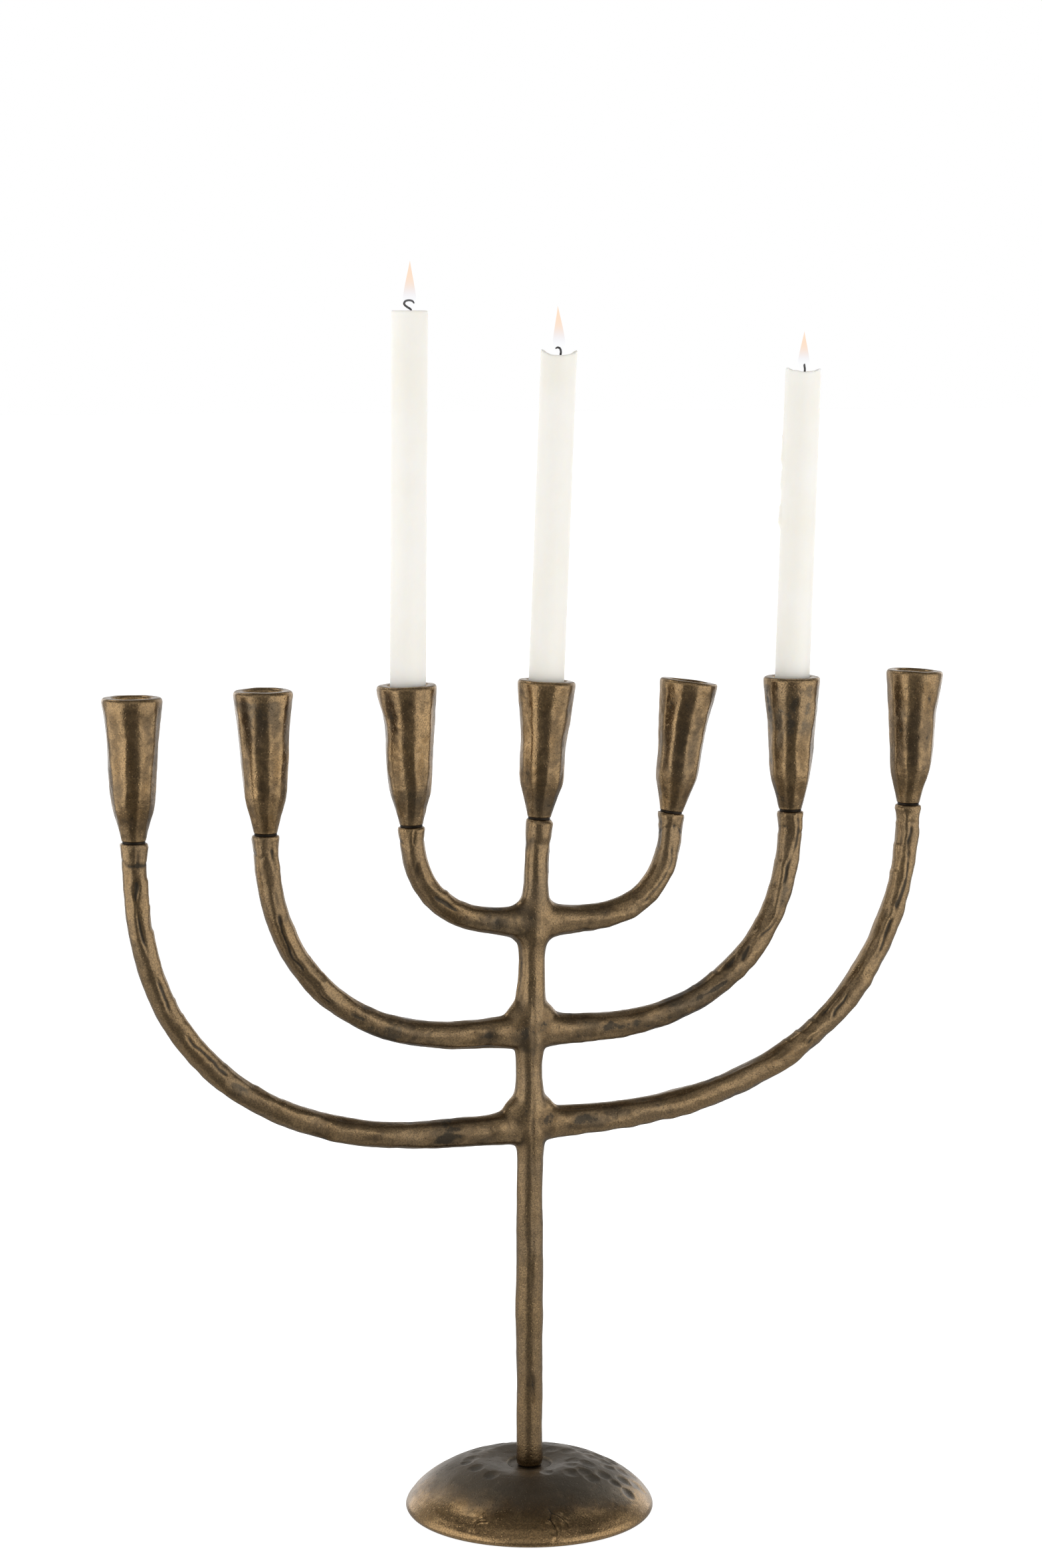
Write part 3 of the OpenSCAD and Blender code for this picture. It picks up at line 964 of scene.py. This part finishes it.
def finish_casting(mesh, brass):
    """Names a part of the casting after the CAD node that lies where it does."""
    points = coordinates(mesh)
    low, high = points.min(axis=0), points.max(axis=0)

    def mismatch(node):
        node_low, node_high = (np.array(corner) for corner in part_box(node))
        return np.abs(low - node_low).sum() + np.abs(high - node_high).sum()

    node = min(["stem", *ARM_OF.values()], key=mismatch)
    smooth(mesh)
    mesh.name = "cast_" + node
    fit(mesh, brass, "stand", "antiqued_brass", node)


# ---- candles

CANDLE_TURNS = 96
CANDLE_STEP = 2 * MM
# The wall's rings stand closer over this many mm below the rim; further rings close the top
CROWN = 9
TOP_RINGS = 21
# Melted tops: how far the rim dips in front and behind, how uneven it is, and how deep the pool is, in mm
TOPS = {3: (0.0, 0.1, 1.0), 4: (3.6, 0.5, 3.4), 6: (2.0, 0.9, 3.0)}
# Drips by candle: (degrees round, share of the height at top and at bottom, width in mm, depth in mm)
DRIPS = {6: [(158, 1.0, 0.80, 1.8, 0.7), (163, 0.80, 0.735, 2.4, 1.3), (157, 0.70, 0.66, 2.2, 1.2),
             (164, 0.60, 0.555, 2.6, 1.5), (168, 0.97, 0.56, 1.5, 0.5), (40, 0.99, 0.82, 2.0, 1.0)]}


def candle_frame(n):
    """The middle of a candle's foot, its axis, its radius and its length."""
    axis = np.array(JOINTS[f"candle_{n}_lift"]["axis"], float)
    axis /= np.linalg.norm(axis)
    points = coordinates(frame["nodes"][f"candle_{n}"].data)
    along = points @ axis
    foot = halfway(points[along < along.min() + 0.05 * MM])
    local = points - foot
    radius = np.linalg.norm(local - np.outer(local @ axis, axis), axis=1).max()
    return foot, axis, radius, float(np.ptp(along))


def candle_outline(size, length):
    """Outline of a plain candle from the middle of its foot to the middle of its top."""
    bottom = np.linspace(0, 1, 5)[:-1]
    wall = np.concatenate(([0.0, 0.3, 0.7], np.arange(1.2, length / MM - CROWN, CANDLE_STEP / MM))) * MM
    upper = length - CROWN * MM + np.linspace(0, 1, 16) * CROWN * MM
    inward = np.linspace(1, 0, TOP_RINGS + 1)[1:]
    radii = np.concatenate((bottom * size, np.full(len(wall) + len(upper), size), inward * size))
    heights = np.concatenate((np.zeros(len(bottom)), wall, upper, np.full(TOP_RINGS, length)))
    return np.stack((radii, heights), axis=1)


def candle_piece(n, wax):
    """A dinner candle with a melted top and drips."""
    foot, axis, size, length = candle_frame(n)
    dip, uneven, pool = TOPS[n]
    radius, angle, height = turning_grid(candle_outline(size, length), CANDLE_TURNS)
    top = np.zeros(radius.shape, bool)
    top[-TOP_RINGS:] = True

    ring = np.stack((np.cos(angle[0]), np.sin(angle[0]), np.full(CANDLE_TURNS, n * 1.0)), axis=1)
    edge = -dip * MM * (0.5 + 0.5 * np.cos(2 * (angle[0] - FRONT))) ** 0.7
    edge = edge + uneven * MM * (noise(ring, 550, 900 + n) - 0.4)
    height = height + ramp(height, length - 30 * MM, length) * edge
    sunk = length - pool * MM
    height = np.where(top, height + (sunk - height) * ramp(1 - radius / size, 0.02, 0.55), height)
    lip = np.maximum(0, 1 - (length + edge - height) / (1.0 * MM))
    radius = radius - np.where(top, 0, 0.45 * MM * np.clip(lip, 0, 1) ** 2)

    # Everything else leaves the top and the part in the socket as they are
    free = ramp(height, 30 * MM, 45 * MM) * ~top
    around = grid_points(radius, angle, height * 0.35)
    radius = radius + free * 0.12 * MM * noise(around, 12, 920 + n).reshape(radius.shape)
    if uneven > 0.3:
        melted = noise(around, 6, 930 + n).reshape(radius.shape)
        radius = radius + free * ramp(height, length - 16 * MM, length) * 0.35 * MM * melted
    for degrees, start, stop, width, depth in DRIPS.get(n, []):
        swing = np.angle(np.exp(1j * (angle - math.radians(degrees)))) * size
        below = np.clip((height - start * length) / ((stop - start) * length), 0, 1)
        gap = np.hypot(swing, height - (start + below * (stop - start)) * length)
        fat = width * MM * (0.6 + 0.4 * below)
        radius = radius + free * depth * MM * (0.55 + 0.45 * below ** 2) * bell(gap, fat)
    mesh = turned_mesh(f"wax_candle_{n}", radius, angle, height, foot, axis)
    fit(mesh, wax, f"candle_{n}", "candle_wax", f"candle_{n}")


# Wicks from the wax upwards, as (right, away, up) in mm from the middle of the pool
WICKS = {
    3: [(1.0, 0, -4), (1.0, 0, 0), (0.6, 0, 1.8), (-1.8, 0.2, 3.4), (-3.2, 0.2, 5.0), (-2.4, 0, 6.6),
        (-0.2, 0, 7.1), (1.8, 0, 6.6), (2.9, 0, 5.2)],
    4: [(0.8, 0, -4), (0.9, 0, 0), (1.1, 0, 2.0), (0.6, 0, 3.9), (-0.9, 0, 4.6), (-2.2, 0.2, 3.9)],
    6: [(0.6, 0, -4), (0.6, 0, 0), (0.7, 0, 2.0), (0.4, 0.3, 4.2), (0.6, 0.3, 5.2)],
}
WICK_R = 0.65 * MM
# Flames: widest radius, how far the tip stands above the wax, and how far it leans right, in mm
FLAMES = {3: (3.9, 30.5, 0.4), 4: (3.7, 29.5, -0.8), 6: (3.5, 25.0, 0.2)}
FLAME_RINGS, FLAME_TURNS = 48, 32
# Where a flame is widest, as a share of its height
BELLY = 0.28


def pool_middle(n):
    """The middle of the molten wax on top of a candle."""
    foot, axis, _, length = candle_frame(n)
    return foot + axis * (length - TOPS[n][2] * MM)


def wick_piece(n, char):
    """A burnt wick, curled over as it stands in the flame."""
    middle = pool_middle(n)
    points = [middle + (x * RIGHT + y * AWAY + z * UP) * MM for x, y, z in WICKS[n]]
    radii = [WICK_R] * (len(points) - 1) + [0.6 * WICK_R]
    mesh = tube_mesh(f"curled_wick_{n}", points, radii)
    fit(mesh, char, f"candle_{n}", "wick", f"wick_{n}")


def flame_piece(n, glow):
    """A pointed teardrop standing round the wick."""
    wide, tall, lean = FLAMES[n]
    rise = np.linspace(0, 1, FLAME_RINGS)
    swelling = np.sin(math.pi / 2 * np.minimum(rise / BELLY, 1)) ** 0.6
    tapering = np.maximum(0, 1 - (np.maximum(rise - BELLY, 0) / (1 - BELLY)) ** 1.25) ** 1.15
    radii = wide * MM * np.where(rise < BELLY, swelling, tapering)
    grid = turning_grid(np.stack((radii, rise * tall * MM), axis=1), FLAME_TURNS)
    mesh = turned_mesh(f"flame_{n}", *grid, pool_middle(n) + 0.4 * MM * UP, UP)
    points = coordinates(mesh)
    rise = (points[:, 2] - points[:, 2].min()) / (tall * MM)
    set_coordinates(mesh, points + np.outer(lean * MM * rise ** 2, RIGHT))
    fit(mesh, glow, f"candle_{n}", "candle_wax")


# ---- room

# Soft boxes: degrees round from the camera, height over the middle, distance, width, height, strength
SOFT_BOXES = {
    "left_box": (67, 0.05, 1.5, 2.3, 1.1, 1.22),
    "right_box": (-67, 0.05, 1.5, 2.3, 1.1, 1.05),
    "left_top_box": (115, 1.5, 1.2, 0.6, 0.6, 2.4),
    "right_top_box": (-120, 1.5, 1.2, 0.4, 0.4, 1.8),
    "left_back_box": (142, 0.3, 1.7, 0.5, 1.4, 1.0),
    "right_back_box": (-142, 0.3, 1.7, 0.5, 1.4, 1.0),
}
MIDDLE = np.array((0, 0, 0.36))


def soft_box(name, turn, height, distance, width, tall, strength):
    """A rectangular light that faces the object's middle."""
    heading = CAMERA_TURN + math.radians(turn)
    spot = MIDDLE + np.array((-math.sin(heading) * distance, -math.cos(heading) * distance, height))
    light = bpy.data.lights.new(name, "AREA")
    light.shape = "RECTANGLE"
    light.size, light.size_y = width, tall
    light.energy = strength * math.pi * width * tall
    piece = add_object(name, light)
    piece.location = spot
    aim = MIDDLE - spot
    piece.rotation_euler = (math.atan2(math.hypot(aim[0], aim[1]), -aim[2]), 0, math.atan2(-aim[0], aim[1]))


def studio():
    """White to the camera; to the metal, a dim room with a light backdrop and a dark strip in front."""
    world = bpy.data.worlds.new("studio")
    bpy.context.scene.world = world
    world.use_nodes = True
    world.node_tree.nodes.clear()
    w = Nodes(world.node_tree)
    direction = w.add("TexCoord").outputs["Generated"]
    z = w.add("SeparateXYZ", {0: direction}).outputs["Z"]
    behind = w.add("VectorMath", {0: direction, 1: tuple(AWAY)}, operation="DOT_PRODUCT").outputs["Value"]
    # How far round a direction lies, whatever its height: 1 behind the object, -1 behind the camera
    level = w.maths("SQRT", w.scaled_sum(w.product(z, z), -1.0, 1.001))
    flat = w.maths("DIVIDE", behind, level)

    beside = w.product(w.range(flat, 0.9, 0.5), w.range(z, 0.05, -0.1))
    shade = w.scaled_sum(beside, 0.30, 0.34)
    front = w.product(w.range(flat, -0.84, -0.95), w.range(z, 0.15, -0.05))
    shade = w.product(shade, w.range(z, 0.35, 0.75, 1.0, 0.45), w.range(front, 0, 1, 1.0, 0.42))
    rear = w.product(w.range(flat, 0.0, 0.6), w.range(z, -0.1, 0.1))
    shade = w.product(shade, w.range(rear, 0, 1, 1.0, 1.8))
    backdrop = w.product(w.range(flat, 0.78, 0.93), w.range(z, 0.26, 0.12), w.range(z, -0.5, -0.1))
    shade = w.scaled_sum(backdrop, 0.6, shade)
    fill = w.product(w.range(flat, -0.4, -0.8), w.range(z, 0.10, 0.28), w.range(z, 0.98, 0.80))
    shade = w.scaled_sum(fill, 0.30, shade)
    # Light from above for the wax, which the metal doesn't mirror
    paths = w.add("LightPath").outputs
    overhead = w.product(paths["Is Diffuse Ray"], w.range(z, 0.4, 0.8))
    shade = w.scaled_sum(overhead, 0.45, shade)
    room = w.add("Background", {"Color": rgb(1, 1, 1), "Strength": shade})
    white = w.add("Background", {"Color": rgb(1, 1, 1)})
    mixed = w.add("MixShader", {0: paths["Is Camera Ray"], 1: room.outputs[0], 2: white.outputs[0]})
    w.add("OutputWorld", {"Surface": mixed.outputs[0]})
    for name, settings in SOFT_BOXES.items():
        soft_box(name, *settings)


def floor():
    """A plain pale floor that the metal doesn't mirror."""
    mesh = bpy.data.meshes.new("floor")
    half = 30.0
    corners = [(-half, -half, 0), (half, -half, 0), (half, half, 0), (-half, half, 0)]
    mesh.from_pydata(corners, [], [(0, 1, 2, 3)])
    p = Paint("pale_floor", Roughness=0.9, Base_Color=rgb(0.5, 0.5, 0.5), Emission_Color=rgb(1, 1, 1),
              Emission_Strength=0.93)
    piece = place(mesh, p.material)
    piece.visible_glossy = False


def camera():
    data = bpy.data.cameras.new("camera")
    data.sensor_width = SENSOR
    data.lens = CAMERA_LENS
    data.clip_end = 100
    piece = add_object("camera", data)
    piece.location = -CAMERA_DISTANCE * AWAY - CAMERA_LEFT * RIGHT + CAMERA_HEIGHT * UP
    piece.rotation_euler = (math.pi / 2 - CAMERA_DROP, 0, -CAMERA_TURN)
    bpy.context.scene.camera = piece
    bpy.context.scene.view_settings.view_transform = "Standard"


# ---- the whole

brass = cast_brass()
zinc = plain_steel("zinc_steel", rgb(0.56, 0.56, 0.57), 0.30)
threaded = plain_steel("threaded_steel", rgb(0.56, 0.56, 0.57), 0.30, 1.25 * MM)
black = plain_steel("dark_washer", rgb(0.035, 0.028, 0.022), 0.5)
camera()
studio()
floor()
for number in CUPS:
    cup_piece(number, brass)
base_piece(brass)
casting_pieces(brass)
wax, glow = candle_wax(), flame_glow()
char = fibrous("wick", 0.9, (0.5, 3), 0.45, 0.75, (0.012, 0.010, 0.009), (0.07, 0.06, 0.05), 0.12)
felt = fibrous("felt", 0.95, (0.6, 5, 0.75, 1.5), 0.35, 0.7, (0.035, 0.034, 0.030), (0.11, 0.105, 0.095), 0.25)
for number in CANDLES:
    candle_piece(number, wax)
    wick_piece(number, char)
    flame_piece(number, glow)
# The CAD nodes that stay visible, by how their names start
coats = {"base_washer": zinc, "lock_washer": zinc, "base_bolt": threaded, "cup_stud": threaded,
         "cup_washer": black, "felt_ring": felt}
for name, node in frame["nodes"].items():
    for prefix in coats:
        if name.startswith(prefix):
            node.data.materials.clear()
            node.data.materials.append(coats[prefix])
